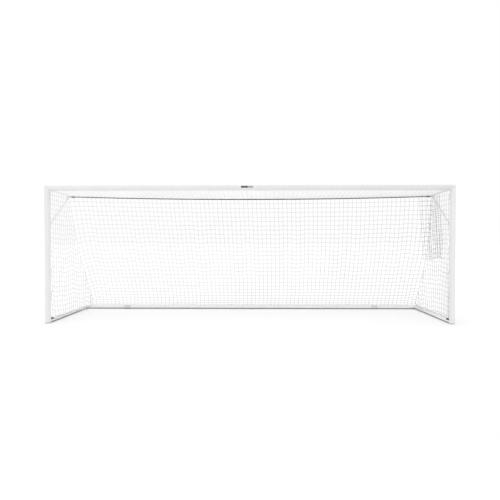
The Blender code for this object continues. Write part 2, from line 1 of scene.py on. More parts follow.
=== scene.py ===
"""Looks of the full-size soccer goal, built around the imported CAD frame.  Metres, +Z up.

The tubes, fittings and rope are rebuilt as fine meshes where the frame says they are, and the net is a
knotted twine lattice that is hung by a small particle simulation and then turned into real strands.
"""
import math

import bmesh
import bpy
import numpy as np
from mathutils import Matrix, Vector


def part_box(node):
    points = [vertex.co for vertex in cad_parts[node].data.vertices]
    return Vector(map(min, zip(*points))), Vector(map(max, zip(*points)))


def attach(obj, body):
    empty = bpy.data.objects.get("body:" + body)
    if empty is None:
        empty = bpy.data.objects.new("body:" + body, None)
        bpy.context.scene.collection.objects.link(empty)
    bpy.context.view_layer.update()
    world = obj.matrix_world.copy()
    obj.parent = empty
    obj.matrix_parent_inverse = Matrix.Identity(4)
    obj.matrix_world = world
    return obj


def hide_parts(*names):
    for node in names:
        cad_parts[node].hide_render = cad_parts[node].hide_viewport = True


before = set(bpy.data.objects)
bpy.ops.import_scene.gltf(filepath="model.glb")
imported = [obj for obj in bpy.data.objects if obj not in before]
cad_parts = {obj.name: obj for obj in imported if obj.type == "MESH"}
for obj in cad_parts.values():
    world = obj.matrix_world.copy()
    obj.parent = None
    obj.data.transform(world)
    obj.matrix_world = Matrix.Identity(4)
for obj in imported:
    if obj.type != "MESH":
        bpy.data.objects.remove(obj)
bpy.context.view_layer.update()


# ---------------------------------------------------------------- places, read from the frame
def centre(node):
    low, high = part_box(node)
    return (low + high) / 2


def size(node):
    low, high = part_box(node)
    return high - low


POST_X = centre("post_right").x
LINE_Y = centre("post_right").y                 # goal line
POST_R = size("post_right").y / 2
BAR_Z = centre("crossbar").z
REAR_Y = centre("rear_bar").y
GROUND_R = size("rear_bar").z / 2
GROUND_Z = centre("rear_bar").z
GROUND_TOP = GROUND_Z + GROUND_R
SLEEVE_R = size("rear_sleeve_left").z / 2
SLEEVE_LENGTH = size("rear_sleeve_left").x
JOINT_X = centre("rear_sleeve_right").x
SUPPORT_R = size("net_support_left").x / 2
SOCKET_R = size("support_socket_upper_left").x / 2
ARM_Z = centre("support_socket_upper_left").z
FOOT_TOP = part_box("post_right")[0].z
SIDES = (("left", -1), ("right", 1))


# ---------------------------------------------------------------- sizes
QUARTER = math.pi / 2

# The same driving sizes as the frame's tubes, supports and rope.
TUBE_WALL = 0.003
FIT_GAP = 0.0006              # between two pieces that meet
SUPPORT_BEND_R = 0.04
SUPPORT_LOW_Z = 1.762
SOCKET_REACH = 0.115
SOCKET_WALL = 0.0025
SLEEVE_WALL = 0.003
EYE_RING_R = 0.015
EYE_WIRE_R = 0.004
EYE_STANDOFF = 0.004
ROPE_R = 0.011
ROPE_SAG = 0.057
ROPE_END_X = 3.6494           # where the rope meets its eyes
TIP_Y = LINE_Y + 1.02
TIP_Z = ARM_Z - SUPPORT_BEND_R
EYE_X = POST_X - SUPPORT_R - EYE_STANDOFF - EYE_WIRE_R - EYE_RING_R
BRACE_TILT = (math.atan2(TIP_Z - SUPPORT_LOW_Z, TIP_Y - SUPPORT_BEND_R - LINE_Y)
              - math.asin(SUPPORT_BEND_R / math.hypot(TIP_Y - SUPPORT_BEND_R - LINE_Y,
                                                      TIP_Z - SUPPORT_LOW_Z)))

# Rope and its knots.
ROPE_RINGS = 1100
ROPE_LAY = 0.065              # one turn of the rope's strands
SEIZING_TURNS = 5
SEIZING_PITCH = 0.0115
SEIZING_WIND_R = 0.0142
SEIZING_CORD_R = 0.0058
BIGHT_CORD_R = 0.0062

# Bolt heads and nuts.
GROUND_BOLT_HEAD = (0.0095, 0.0055)     # radius, height
SUPPORT_BOLT_HEAD = (0.0075, 0.0045)
SUPPORT_SHANK_R = 0.004

# How the net is made.
MESH = 0.0889                 # 3.5 in square mesh
COLUMNS = 83                  # cells across the back and top
TOP_ROWS = 11                 # cells from the crossbar to the rope
BACK_ROWS = 29                # cells from the rope down to the rear bar
SIDE_ROWS = 27                # cells down each side panel
TWINE_R = 0.0026
KNOT_R = 0.0044
EDGE_CORD_R = 0.0030

# How the net is hung.
NET_X = POST_X - 0.034        # side panels hang just inside the posts' and supports' line
EDGE_OUT = 0.010              # net edge to the surface of the tube that holds it
BACK_SLACK = 1.03             # each column of the back is this much longer than its straight line
TOP_SLACK = 0.972             # laced tight, because the hung strands stretch a little
SIDE_SLACK = 1.02
SIDE_WAVE = 0.034             # columns differ by this share: longer high up and shorter low down
BACK_WAVE = 0.014
SWEEP = 2.3                   # the back drops steeply under the rope and sweeps back low down
ROW_WIDTHS = ((0, 0.0896), (11, 0.0894), (14, 0.0874), (17, 0.0857), (21, 0.0853), (26, 0.0860),
              (29, 0.0876))   # (row of the back, width of its cells)
LEFT_REAR_X = -3.57           # the net's rear corners on the ground bar: it is laced slightly
RIGHT_REAR_X = 3.685          # to the right of the middle
CLIP_SPACING = 0.46
GATHER_ROWS = 15              # surplus net folded in at the right corner
GATHER_PITCH = 0.058
GATHER_ON_ROPE = 4            # its columns tied to the rope; the others are tied along the arm
GATHER_ON_ARM = 9
GATHER_TIES = (4, 9)          # its rows that are tied to the net's corner edge
DRIFT = 0.7                   # sideways pull of a light breeze, in m/s2
HANG_STEPS = 620
SWEEPS_PER_STEP = 26

# Light: the dome's strength, and its share at either side and straight overhead.
DOME_LEVEL = 0.98
DOME_SIDES = 0.65
DOME_TOP = 1.28
KEY_LEVEL = 0.10
FLOOR_TONE = 0.95
FLOOR_SIZE = 400.0


# ---------------------------------------------------------------- materials
def grey(value):
    return (value, value, value)


def add_node(tree, kind, inputs=(), **properties):
    """New shader node; each of its inputs is set to a constant or linked to another node's output."""
    made = tree.nodes.new(kind)
    for name, value in properties.items():
        setattr(made, name, value)
    for name, value in dict(inputs).items():
        if isinstance(value, bpy.types.NodeSocket):
            tree.links.new(value, made.inputs[name])
        else:
            made.inputs[name].default_value = value
    return made


def shader_material(name, colour, roughness, metallic=0.0, **sockets):
    """A Principled material, with its node tree and shader."""
    material = bpy.data.materials.new(name)
    material.use_nodes = True
    tree = material.node_tree
    shader = tree.nodes["Principled BSDF"]
    shader.inputs["Base Color"].default_value = (*colour, 1.0)
    shader.inputs["Roughness"].default_value = roughness
    shader.inputs["Metallic"].default_value = metallic
    for socket, value in sockets.items():
        shader.inputs[socket.replace("_", " ")].default_value = value
    return material, tree, shader


def noise(tree, scale, detail=3.0, stretch=(1.0, 1.0, 1.0)):
    """Noise over the object's own coordinates."""
    coordinates = add_node(tree, "ShaderNodeTexCoord")
    mapping = add_node(tree, "ShaderNodeMapping",
                       {"Vector": coordinates.outputs["Object"], "Scale": stretch})
    texture = add_node(tree, "ShaderNodeTexNoise",
                       {"Vector": mapping.outputs["Vector"], "Scale": scale, "Detail": detail})
    return texture.outputs["Fac"]


def place_in_goal(tree):
    """The shaded point's X, Y and Z outputs, in the goal's frame."""
    geometry = add_node(tree, "ShaderNodeNewGeometry")
    return add_node(tree, "ShaderNodeSeparateXYZ", {"Vector": geometry.outputs["Position"]}).outputs


def ramp(tree, factor, stops):
    """Colour ramp from (position, colour) stops."""
    made = add_node(tree, "ShaderNodeValToRGB", {"Fac": factor})
    elements = made.color_ramp.elements
    while len(elements) < len(stops):
        elements.new(0.5)
    for element, (position, colour) in zip(elements, stops):
        element.position = position
        element.color = (*colour, 1.0)
    return made.outputs["Color"]


def level(tree, factor, low, high, start=0.0, end=1.0):
    """Stretch the range start to end of a factor to low to high, and hold it there beyond."""
    made = add_node(tree, "ShaderNodeMapRange", {"Value": factor, "From Min": start, "From Max": end,
                                                 "To Min": low, "To Max": high})
    return made.outputs["Result"]


def calculated(tree, operation, *values, clamp=False):
    made = add_node(tree, "ShaderNodeMath", enumerate(values), operation=operation, use_clamp=clamp)
    return made.outputs["Value"]


def blended(tree, factor, first, second, blend_type="MIX"):
    """Second colour over or times the first one."""
    made = add_node(tree, "ShaderNodeMix", {"Factor": factor, "A": first, "B": second},
                    data_type="RGBA", blend_type=blend_type)
    return made.outputs["Result"]


def bump(tree, shader, height, strength, distance):
    made = add_node(tree, "ShaderNodeBump", {"Height": height, "Strength": strength, "Distance": distance})
    tree.links.new(made.outputs["Normal"], shader.inputs["Normal"])


def powder_coat(name, value, ground_dirt, underside=(0.5, 0.5, 0.5), painted_shade_right_end=1.0):
    """White powder coat: slight orange peel, faint cloudy tone, scuffs low down and painted shade on its
    underside.

    Towards the goal's right end it fades, as painted shade, to painted_shade_right_end of its tone.
    """
    material, tree, shader = shader_material(name, grey(value), 0.32, Coat_Weight=0.15)
    place = place_in_goal(tree)
    clouds = ramp(tree, noise(tree, 2.3, 5.0), [(0.35, grey(value * 0.975)), (0.65, grey(value))])
    specks = level(tree, noise(tree, 38.0, 6.0, (1.0, 1.0, 0.35)), -1.2, 1.0)
    low_down = level(tree, place["Z"], 0.0, 1.0, 0.16, 0.0)
    scuffs = calculated(tree, "MULTIPLY", specks, low_down, clamp=True)
    tone = blended(tree, scuffs, clouds, (*ground_dirt, 1.0))
    # Painted shade: the coat darkens to the underside tone from 26 mm above the ground, fully at 12 mm,
    # standing in for the shade under the tubes.
    tone = blended(tree, level(tree, place["Z"], 0.0, 1.0, 0.026, 0.012), tone, (*underside, 1.0))
    # Painted shade: the tone is multiplied down towards the goal's right end.
    tone = blended(tree, 1.0, tone, level(tree, place["X"], 1.0, painted_shade_right_end, -3.7, 3.7), "MULTIPLY")
    tree.links.new(tone, shader.inputs["Base Color"])
    tree.links.new(level(tree, noise(tree, 14.0, 4.0), 0.27, 0.40), shader.inputs["Roughness"])
    bump(tree, shader, noise(tree, 420.0, 2.0), 0.12, 0.0004)
    return material


def twine_material(name, value):
    """Braided white twine: fine plait in tone and height, greyer in broad patches and low down, and greyer
    towards the right as painted shade.
    """
    material, tree, shader = shader_material(name, grey(value), 0.75)
    place = place_in_goal(tree)
    plait = noise(tree, 520.0, 2.0, (1.0, 1.0, 1.7))
    tone = ramp(tree, plait, [(0.38, grey(value * 0.88)), (0.6, grey(value))])
    downwards = calculated(tree, "MULTIPLY_ADD", place["Z"], -0.16, 0.12)
    # Painted shade: the twine greys towards the goal's right side.
    painted_shade_rightwards = calculated(tree, "MULTIPLY_ADD", place["X"], 0.085, 0.02)
    # The sum adds broad random patches, the greying low down and the painted shade towards the right.
    wear = calculated(tree, "ADD", noise(tree, 1.1, 2.0), downwards)
    wear = calculated(tree, "ADD", wear, painted_shade_rightwards)
    worn_and_shaded = ramp(tree, wear, [(0.0, grey(1.0)), (1.0, grey(0.58))])
    tree.links.new(blended(tree, 1.0, tone, worn_and_shaded, "MULTIPLY"), shader.inputs["Base Color"])
    bump(tree, shader, plait, 0.6, 0.0008)
    return material


def rope_material():
    """Black polypropylene: dusty fibre tone with a fine strand pattern."""
    material, tree, shader = shader_material("black_rope_fibre", grey(0.012), 0.7)
    fibre = noise(tree, 260.0, 3.0, (0.35, 1.0, 1.0))
    tone = ramp(tree, fibre, [(0.3, grey(0.006)), (0.75, grey(0.026))])
    tree.links.new(tone, shader.inputs["Base Color"])
    bump(tree, shader, fibre, 0.5, 0.0006)
    return material


def metal_material(name, value, roughness):
    """Zinc or cast metal: mottled tone and roughness."""
    material, tree, shader = shader_material(name, grey(value), roughness, 1.0)
    mottle = noise(tree, 90.0, 4.0)
    tone = ramp(tree, mottle, [(0.3, grey(value * 0.8)), (0.7, grey(value))])
    tree.links.new(tone, shader.inputs["Base Color"])
    tree.links.new(level(tree, mottle, roughness * 0.75, roughness * 1.3), shader.inputs["Roughness"])
    bump(tree, shader, noise(tree, 700.0, 2.0), 0.15, 0.0002)
    return material


def coat_material(name, value, roughness):
    """Dark matt coat or film with rubbed, slightly lighter patches."""
    material, tree, shader = shader_material(name, grey(value), roughness)
    wear = noise(tree, 60.0, 5.0)
    tone = ramp(tree, wear, [(0.45, grey(value)), (0.8, grey(value * 1.9))])
    tree.links.new(tone, shader.inputs["Base Color"])
    bump(tree, shader, noise(tree, 520.0, 2.0), 0.2, 0.0004)
    return material


def plastic_material(name, value):
    """Moulded plastic with a light grain."""
    material, tree, shader = shader_material(name, grey(value), 0.45)
    tone = ramp(tree, noise(tree, 30.0, 3.0), [(0.3, grey(value * 0.96)), (0.7, grey(value))])
    tree.links.new(tone, shader.inputs["Base Color"])
    bump(tree, shader, noise(tree, 900.0, 2.0), 0.12, 0.0002)
    return material


COAT = powder_coat("white_powder_coat", 0.825, (0.52, 0.50, 0.46))
# The crossbar's coat carries painted shade: it darkens towards the right end.
BAR_COAT = powder_coat("crossbar_powder_coat", 0.815, (0.52, 0.50, 0.46), painted_shade_right_end=0.91)
# A lighter copy of the same white coat, as painted light, with dark painted shade on its underside.
GROUND_COAT_PAINTED_LIGHT_SHADE = powder_coat("ground_frame_painted_light_shade_coat", 0.93, (0.50, 0.48, 0.44), (0.16, 0.155, 0.14))
# A greyer copy of the white coat, as painted shade on the sleeves, with dark painted shade on its underside.
SLEEVE_COAT_PAINTED_SHADE = powder_coat("sleeve_painted_shade_coat", 0.74, (0.42, 0.41, 0.38), (0.14, 0.135, 0.12))
TWINE = twine_material("white_net_twine", 0.70)
# A lighter copy of the same twine, as painted light on the top panel.
TOP_TWINE_PAINTED_LIGHT = twine_material("top_twine_painted_light", 0.95)
CORD = twine_material("white_border_cord", 0.80)
ROPE = rope_material()
ZINC = metal_material("zinc_plated_steel", 0.60, 0.36)
ALLOY = metal_material("cast_alloy", 0.66, 0.42)
BRACKET = coat_material("dark_bracket_coat", 0.035, 0.5)
PLASTIC = plastic_material("white_clip_plastic", 0.78)
BADGE_DARK = coat_material("badge_dark_film", 0.055, 0.35)
BADGE_PALE = coat_material("badge_grey_film", 0.33, 0.35)


# ---------------------------------------------------------------- mesh helpers
def add_piece(name, vertices, faces, material, slot, replaces=(), smooth_deg=40.0):
    """A named mesh piece that rides on the goal's one body."""
    mesh = bpy.data.meshes.new(name)
    mesh.from_pydata([tuple(v) for v in vertices], [], [tuple(int(i) for i in f) for f in faces])
    mesh.validate()
    return add_mesh(name, mesh, material, replaces, smooth_deg)


def add_mesh(name, mesh, material, replaces=(), smooth_deg=40.0):
    mesh.materials.append(material)
    mesh.shade_smooth()
    mesh.set_sharp_from_angle(angle=math.radians(smooth_deg))
    piece = bpy.data.objects.new(name, mesh)
    bpy.context.scene.collection.objects.link(piece)
    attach(piece, "root")
    if replaces:
        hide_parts(*replaces)
    return piece


def joined(shapes):
    """One (vertices, faces) pair from several."""
    vertices = []
    faces = []
    for shape_vertices, shape_faces in shapes:
        offset = len(vertices)
        vertices.extend(shape_vertices)
        faces.extend([tuple(index + offset for index in face) for face in shape_faces])
    return vertices, faces


def moved(shape, matrix):
    vertices, faces = shape
    return [matrix @ Vector(v) for v in vertices], faces


def ring_faces(rings, sides, closed_path=False):
    """Quads between successive rings of a swept shape."""
    faces = []
    last = rings if closed_path else rings - 1
    for ring in range(last):
        below = ring * sides
        above = ((ring + 1) % rings) * sides
        for side in range(sides):
            after = (side + 1) % sides
            faces.append((below + side, below + after, above + after, above + side))
    return faces


def swept(path, radius, sides, closed_path=False, caps=True, profile=None):
    """Tube along a path.  profile(angle, distance) may vary the radius round and along it."""
    points = [Vector(p) for p in path]
    count = len(points)
    tangents = []
    for index in range(count):
        before = points[index - 1] if index or closed_path else points[0]
        after = points[(index + 1) % count] if index < count - 1 or closed_path else points[-1]
        tangents.append((after - before).normalized())
    normal = tangents[0].orthogonal().normalized()
    vertices = []
    distance = 0.0
    for index, (point, tangent) in enumerate(zip(points, tangents)):
        if index:
            normal = tangents[index - 1].rotation_difference(tangent) @ normal
            distance += (point - points[index - 1]).length
        normal = (normal - tangent * normal.dot(tangent)).normalized()
        binormal = tangent.cross(normal)
        for side in range(sides):
            angle = 2 * math.pi * side / sides
            reach = radius if profile is None else profile(angle, distance)
            vertices.append(point + (normal * math.cos(angle) + binormal * math.sin(angle)) * reach)
    faces = ring_faces(count, sides, closed_path)
    if caps and not closed_path:
        faces.append(tuple(range(sides))[::-1])
        faces.append(tuple(range((count - 1) * sides, count * sides)))
    return vertices, faces


def turned(profile, sides, hexagonal=()):
    """Lathe (radius, height) points about Z; the listed points form a hexagon instead of a circle."""
    vertices = []
    for index, (radius, height) in enumerate(profile):
        for side in range(sides):
            angle = 2 * math.pi * side / sides
            reach = radius
            if index in hexagonal:
                sector = (angle + math.pi / 6) % (math.pi / 3) - math.pi / 6
                reach = radius / math.cos(sector)
            vertices.append(Vector((reach * math.cos(angle), reach * math.sin(angle), height)))
    faces = ring_faces(len(profile), sides)
    faces.append(tuple(range(sides))[::-1])
    faces.append(tuple(range((len(profile) - 1) * sides, len(profile) * sides)))
    return vertices, faces


def flat(x, y):
    return 0.0


def mitre(along_x, along_y):
    return lambda x, y: along_x * x + along_y * y


def cope(tilt=0.0):
    """Fish-mouth cut that fits a tube, tilted up from level, against a post at its origin."""
    seat = POST_R + FIT_GAP
    return lambda x, y: (math.sqrt(seat ** 2 - x ** 2) - y * math.sin(tilt)) / math.cos(tilt)


def tube(outer_r, wall, length, start_cut=flat, end_cut=flat, sides=96, lip=0.0006):
    """Hollow round tube on local Z with eased rims; each end cut to its own shape."""
    stations = [(outer_r - wall, 0.0, 0), (outer_r - lip, 0.0, 0), (outer_r, lip, 0),
                (outer_r, length - lip, 1), (outer_r - lip, length, 1), (outer_r - wall, length, 1)]
    vertices = []
    for radius, height, end in stations:
        cut = end_cut if end else start_cut
        for side in range(sides):
            angle = 2 * math.pi * side / sides
            x = radius * math.cos(angle)
            y = radius * math.sin(angle)
            vertices.append(Vector((x, y, height + cut(x, y))))
    return vertices, ring_faces(len(stations), sides, closed_path=True)


def placed(x, y, z, turn_x=0.0, turn_y=0.0):
    turns = Matrix.Rotation(turn_y, 4, "Y") @ Matrix.Rotation(turn_x, 4, "X")
    return Matrix.Translation((x, y, z)) @ turns


# ---------------------------------------------------------------- camera
def add_camera():
    """Eye height, just right of the middle, looking almost level into the goal mouth."""
    data = bpy.data.cameras.new("camera")
    data.sensor_width = 36.0
    data.lens = 36.54
    camera = bpy.data.objects.new("camera", data)
    camera.location = (0.163, LINE_Y - 9.298, 1.488)
    camera.rotation_euler = (math.radians(90.0 - 0.841), 0.0, math.radians(0.866))
    bpy.context.scene.collection.objects.link(camera)
    bpy.context.scene.camera = camera


# ---------------------------------------------------------------- tension rope
def rope_height(x):
    return TIP_Z - ROPE_SAG * (1.0 - (x / ROPE_END_X) ** 2)


def build_rope():
    """Three-strand black rope from tip to tip, ending in a wrapped knot on each eye."""
    fine = [2.0 * ROPE_END_X * index / (ROPE_RINGS - 1) - ROPE_END_X for index in range(ROPE_RINGS)]

    def strands(angle, distance):
        twist = 2 * math.pi * distance / ROPE_LAY
        return ROPE_R * (1.0 + 0.08 * math.cos(3 * (angle + twist)))

    shape = swept([(x, TIP_Y, rope_height(x)) for x in fine], ROPE_R, 18, profile=strands)
    rope = add_piece("tension_rope_strands", *shape, ROPE, "black_rope", ["tension_rope"], 180.0)
    for side, sign in SIDES:
        add_rope_knot("rope_knot_" + side, sign)


def add_rope_knot(name, sign):
    """Turns of the rope round the eye and a seizing wound round the standing part."""
    winds = []
    start = sign * (ROPE_END_X - 0.012)
    for step in range(SEIZING_TURNS * 14 + 1):
        angle = 2 * math.pi * step / 14
        x = start - sign * SEIZING_PITCH * step / 14
        winds.append((x, TIP_Y + SEIZING_WIND_R * math.cos(angle),
                      rope_height(x) + SEIZING_WIND_R * math.sin(angle)))
    seizing = swept(winds, SEIZING_CORD_R, 10)
    loop = []
    for step in range(25):
        angle = math.pi * 1.15 * (step / 24 - 0.5)
        loop.append((sign * (EYE_X - 0.024 + 0.029 * math.cos(angle)),
                     TIP_Y + 0.0155 * math.sin(angle), TIP_Z + 0.0125 * math.cos(angle * 0.9) - 0.004))
    bight = swept(loop, BIGHT_CORD_R, 10)
    return add_piece(name, *joined([seizing, bight]), ROPE, "black_rope", smooth_deg=180.0)


# ---------------------------------------------------------------- white tubes
def build_tubes():
    """Posts, crossbar and ground bars as fine tubes in the frame's places."""
    add_tube("crossbar_tube", tube(POST_R, TUBE_WALL, 2 * POST_X, mitre(1, 0), mitre(-1, 0)),
             placed(-POST_X, LINE_Y, BAR_Z, turn_y=QUARTER), ["crossbar"], BAR_COAT)
    add_tube("rear_bar_tube", tube(GROUND_R, TUBE_WALL, 2 * JOINT_X),
             placed(-JOINT_X, REAR_Y, GROUND_Z, turn_y=QUARTER), ["rear_bar"], GROUND_COAT_PAINTED_LIGHT_SHADE)
    for side, sign in SIDES:
        post_length = BAR_Z - FOOT_TOP - FIT_GAP
        add_tube("post_tube_" + side, tube(POST_R, TUBE_WALL, post_length, end_cut=mitre(sign, 0)),
                 placed(sign * POST_X, LINE_Y, FOOT_TOP), ["post_" + side])
        add_tube("side_bar_tube_" + side,
                 tube(GROUND_R, TUBE_WALL, REAR_Y - LINE_Y, cope(), mitre(sign, 0)),
                 placed(sign * POST_X, LINE_Y, GROUND_Z, turn_x=-QUARTER), ["side_bar_" + side], GROUND_COAT_PAINTED_LIGHT_SHADE)
        outer_x = POST_X - FIT_GAP
        inner_x = JOINT_X + FIT_GAP
        if sign < 0:
            shape = tube(GROUND_R, TUBE_WALL, outer_x - inner_x, start_cut=mitre(0, -1))
            start_x = -outer_x
        else:
            shape = tube(GROUND_R, TUBE_WALL, outer_x - inner_x, end_cut=mitre(0, 1))
            start_x = inner_x
        add_tube("return_bar_tube_" + side, shape,
                 placed(start_x, REAR_Y, GROUND_Z, turn_y=QUARTER), ["return_bar_" + side], GROUND_COAT_PAINTED_LIGHT_SHADE)
        add_tube("rear_sleeve_tube_" + side, tube(SLEEVE_R, SLEEVE_WALL, SLEEVE_LENGTH, lip=0.001),
                 placed(sign * JOINT_X - SLEEVE_LENGTH / 2, REAR_Y, GROUND_Z, turn_y=QUARTER),
                 ["rear_sleeve_" + side], SLEEVE_COAT_PAINTED_SHADE)
        build_corner_weld(side, sign)
        build_foot(side, sign)
        build_support(side, sign)


def add_tube(name, shape, matrix, nodes, coat=COAT):
    return add_piece(name, *moved(shape, matrix), coat, "white_coat", nodes)


def build_corner_weld(side, sign):
    """Painted weld bead round the mitre at each rear corner of the ground frame."""
    bead = []
    steps = 72
    for step in range(steps):
        angle = 2 * math.pi * step / steps
        out = GROUND_R * math.cos(angle)
        bead.append((sign * (POST_X + out), REAR_Y + out, GROUND_Z + GROUND_R * math.sin(angle)))

    def ripple(angle, distance):
        return 0.0026 + 0.0003 * math.sin(2 * math.pi * distance / 0.006)

    # The bead stays above the ground: its underside is dressed flush with the tube.
    shape = swept(bead, 0.0026, 8, closed_path=True, profile=ripple)
    lowest = GROUND_Z - GROUND_R
    shape = ([Vector((v[0], v[1], max(v[2], lowest))) for v in shape[0]], shape[1])
    add_piece("corner_weld_" + side, *shape, GROUND_COAT_PAINTED_LIGHT_SHADE, "white_coat", smooth_deg=180.0)


def build_foot(side, sign):
    profile = [(0.0472, 0.036), (0.0472, 0.006), (0.0500, 0.006), (POST_R, 0.0052), (POST_R, 0.001),
               (0.0498, 0.0)]
    shape = moved(turned(profile[::-1], 96), placed(sign * POST_X, LINE_Y, 0.0))
    add_piece("foot_cap_" + side, *shape, PLASTIC, "white_plastic", ["foot_" + side])


# ---------------------------------------------------------------- net supports
def build_support(side, sign):
    """Bent support tube in its two welded sockets."""
    bend_y = TIP_Y - SUPPORT_BEND_R
    path = [(sign * POST_X, LINE_Y + POST_R + 0.0015, ARM_Z)]
    end_angle = BRACE_TILT - QUARTER
    bend_points = 36
    for step in range(bend_points + 1):
        angle = QUARTER + (end_angle - QUARTER) * step / bend_points
        path.append((sign * POST_X, bend_y + SUPPORT_BEND_R * math.cos(angle),
                     TIP_Z + SUPPORT_BEND_R * math.sin(angle)))
    near = POST_R + 0.0115
    path.append((sign * POST_X, LINE_Y + near, SUPPORT_LOW_Z + near * math.tan(BRACE_TILT)))
    shape = swept(path, SUPPORT_R, 40)
    add_piece("net_support_tube_" + side, *shape, GROUND_COAT_PAINTED_LIGHT_SHADE, "white_coat", ["net_support_" + side], 60.0)
    for level_name, axis_z, tilt in (("upper", ARM_Z, 0.0), ("lower", SUPPORT_LOW_Z, BRACE_TILT)):
        node = "support_socket_" + level_name + "_" + side
        shape = tube(SOCKET_R, SOCKET_WALL, SOCKET_REACH, start_cut=cope(tilt), sides=48)
        place = placed(sign * POST_X, LINE_Y, axis_z, turn_x=tilt - QUARTER)
        add_piece("socket_tube_" + level_name + "_" + side, *moved(shape, place), COAT, "white_coat", [node])
        bead = []
        for step in range(60):
            angle = 2 * math.pi * step / 60
            x = SOCKET_R * math.cos(angle)
            y = SOCKET_R * math.sin(angle)
            bead.append(place @ Vector((x, y, cope(tilt)(x, y) + 0.0015)))
        weld = swept(bead, 0.0022, 8, closed_path=True)
        add_piece("socket_weld_" + level_name + "_" + side, *weld, COAT, "white_coat", smooth_deg=180.0)


# ---------------------------------------------------------------- fasteners and fittings
def bolt_shape(head_r, head_h, washer_r):
    """Button head with a hexagon socket, on a thin washer; the seat is at z = 0."""
    washer = turned([(washer_r * 0.3, 0.0), (washer_r, 0.0), (washer_r, 0.0008), (washer_r - 0.0004, 0.0012),
                     (washer_r * 0.3, 0.0012)], 32)
    socket_r = head_r * 0.42
    head = turned([(head_r * 0.9, 0.0012), (head_r, 0.0018), (head_r * 0.93, head_h * 0.55),
                   (head_r * 0.72, head_h * 0.88), (head_r * 0.55, head_h), (socket_r, head_h),
                   (socket_r, head_h * 0.45)], 36, hexagonal=(5, 6))
    return joined([washer, head])


def build_bolts():
    """Every bolt head of the frame, seated where its CAD node has its head."""
    ground_head = bolt_shape(*GROUND_BOLT_HEAD, GROUND_BOLT_HEAD[0])
    support_head = bolt_shape(*SUPPORT_BOLT_HEAD, SUPPORT_BOLT_HEAD[0])
    ground_head_h = GROUND_BOLT_HEAD[1]
    for node in sorted(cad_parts):
        if "_bolt_" not in node:
            continue
        low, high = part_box(node)
        middle = (low + high) / 2
        if node.startswith("support_bolt"):
            sign = -1 if node.endswith("left") else 1
            seat_x = sign * (POST_X + SOCKET_R + 0.0003)
            matrix = placed(seat_x, middle.y, middle.z, turn_y=sign * QUARTER)
            tail_x = low.x if sign > 0 else high.x
            shank = abs(seat_x - tail_x)
            shape = joined([support_head, turned([(0.0034, -shank), (SUPPORT_SHANK_R, -shank + 0.0008),
                                                  (SUPPORT_SHANK_R, 0.0)], 24)])
        elif node.startswith("bracket_bolt") and "lug" not in node:
            matrix = placed(middle.x, middle.y, high.z - ground_head_h)
            shape = ground_head
        else:
            matrix = placed(middle.x, high.y - ground_head_h, middle.z, turn_x=-QUARTER)
            shape = ground_head
        add_piece(node + "_head", *moved(shape, matrix), ZINC, "zinc", [node])


def nut_shape():
    """Chamfered hexagon nut, 15 mm across its corners, on local Z."""
    apothem = 0.0065
    return turned([(0.0042, -0.00275), (0.0060, -0.00275), (apothem, -0.0020), (apothem, 0.0020),
                   (0.0060, 0.00275), (0.0042, 0.00275)], 36, hexagonal=(2, 3))


def build_nuts_and_eyes():
    """Nuts of the supports and eye bolts, and the eye bolts that hold the rope."""
    nut = nut_shape()
    for node in sorted(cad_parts):
        if "nut" in node:
            matrix = placed(*centre(node), turn_y=QUARTER)
            add_piece(node + "_hex", *moved(nut, matrix), ZINC, "zinc", [node])
    for side, sign in SIDES:
        eye_x = sign * EYE_X
        ring = []
        for step in range(48):
            angle = 2 * math.pi * step / 48
            ring.append((eye_x + EYE_RING_R * math.cos(angle), TIP_Y + EYE_RING_R * math.sin(angle), TIP_Z))
        low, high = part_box("rope_eye_" + side)
        outer_x = high.x if sign > 0 else low.x
        shank = swept([(eye_x + sign * EYE_RING_R, TIP_Y, TIP_Z), (outer_x, TIP_Y, TIP_Z)], EYE_WIRE_R, 24)
        washer_x = sign * (POST_X - SUPPORT_R - 0.0016)
        washer = moved(turned([(0.0042, -0.0012), (0.0105, -0.0012), (0.0105, 0.0), (0.0042, 0.0)], 36),
                       placed(washer_x, TIP_Y, TIP_Z, turn_y=sign * QUARTER))
        shape = joined([swept(ring, EYE_WIRE_R, 16, closed_path=True), shank, washer])
        add_piece("rope_eye_bolt_" + side, *shape, ZINC, "zinc", ["rope_eye_" + side], 60.0)


def finish_carried_nodes():
    """CAD nodes that stay in view get their materials and small eased edges."""
    carried = {"foot_bracket_left": BRACKET, "foot_bracket_right": BRACKET,
               "corner_insert_left": ALLOY, "corner_insert_right": ALLOY}
    for name, material in carried.items():
        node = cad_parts[name]
        node.data.materials.clear()
        node.data.materials.append(material)
        eased = node.modifiers.new("eased_edges", "BEVEL")
        eased.width = 0.0012
        eased.segments = 2
        eased.limit_method = "ANGLE"
        eased.angle_limit = math.radians(40)


